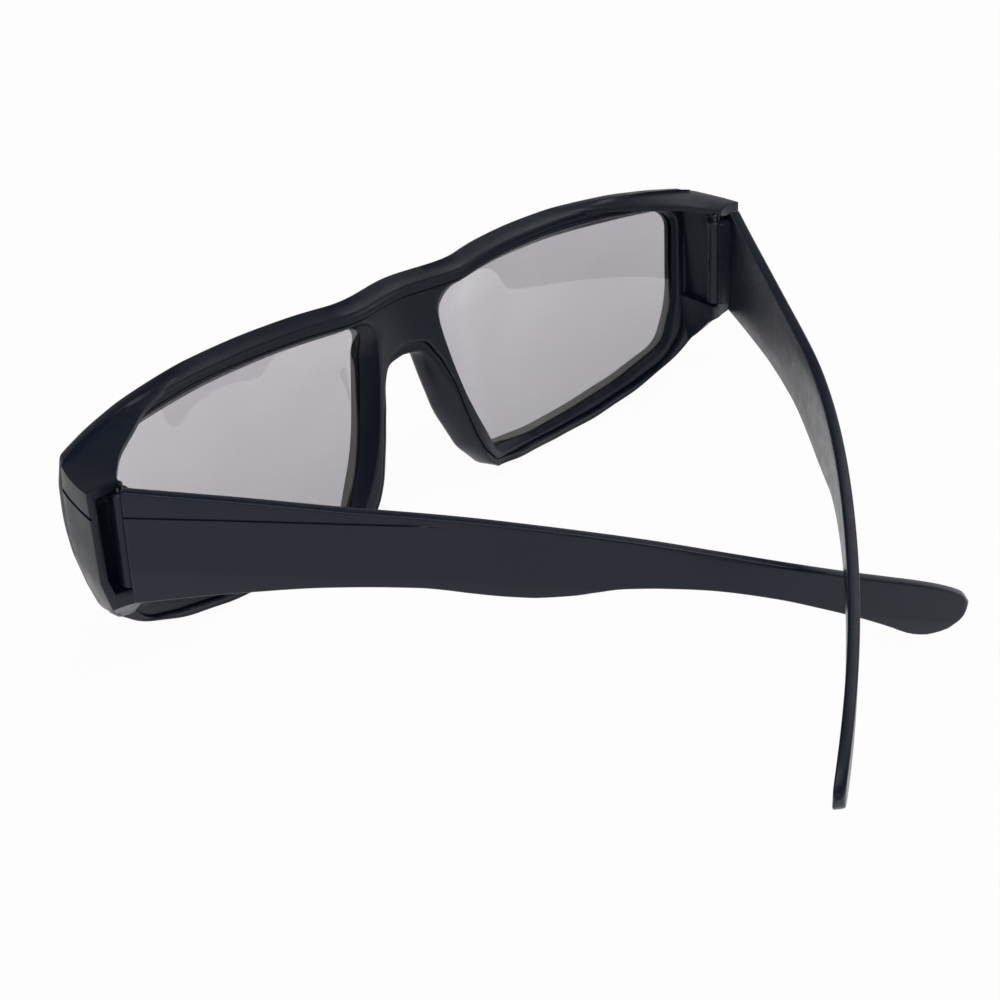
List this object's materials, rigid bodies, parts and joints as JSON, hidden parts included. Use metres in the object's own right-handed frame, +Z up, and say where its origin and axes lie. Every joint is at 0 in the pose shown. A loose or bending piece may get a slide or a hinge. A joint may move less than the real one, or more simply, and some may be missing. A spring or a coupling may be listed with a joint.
{
  "type": "folding 3-D viewing glasses",
  "caption": "Passive 3-D viewing glasses with a dark plastic frame, grey polarised lenses and curved folding arms, lying half folded on the lower rims.",
  "frame": {"origin": "table level under the middle of the half-folded glasses", "axes": "+X towards the wearer's left, +Y from the lenses towards the wearer and the arms, +Z up from the table; the front faces -Y"},
  "size_m": [0.1498, 0.1257, 0.0439],
  "materials": {
    "front_plastic": "satin",
    "bezel_plastic": "satin",
    "arm_plastic": "satin",
    "retarder_film": "clear",
    "polariser_film": "neutral grey",
    "cover_film": "clear, slightly glossy",
    "pin_steel": "drawn"
  },
  "bodies": {
    "frame": {"front_frame": "front_plastic", "rear_bezel": "bezel_plastic", "left_lens_retarder": "retarder_film", "left_lens_polariser": "polariser_film", "left_lens_cover": "cover_film", "right_lens_retarder": "retarder_film", "right_lens_polariser": "polariser_film", "right_lens_cover": "cover_film", "left_hinge_pin": "pin_steel", "right_hinge_pin": "pin_steel"},
    "left_arm": {"left_temple": "arm_plastic"},
    "right_arm": {"right_temple": "arm_plastic"}
  },
  "joints": [
    {"name": "right_arm_fold", "type": "hinge", "parent": "frame", "child": "right_arm", "pos_m": [-0.069, -0.04286, 0.02905], "axis": [0.003, 0.0596, -0.9982], "range_deg": [-34.7, 28]},
    {"name": "left_arm_fold", "type": "hinge", "parent": "frame", "child": "left_arm", "pos_m": [0.069, -0.04286, 0.02905], "axis": [-0.0189, -0.0372, 0.9991], "range_deg": [-46.2, 37.28]}
  ],
  "couplings": [
    {"joint": "left_arm_fold", "follows": "right_arm_fold", "ratio": 1.3314}
  ]
}
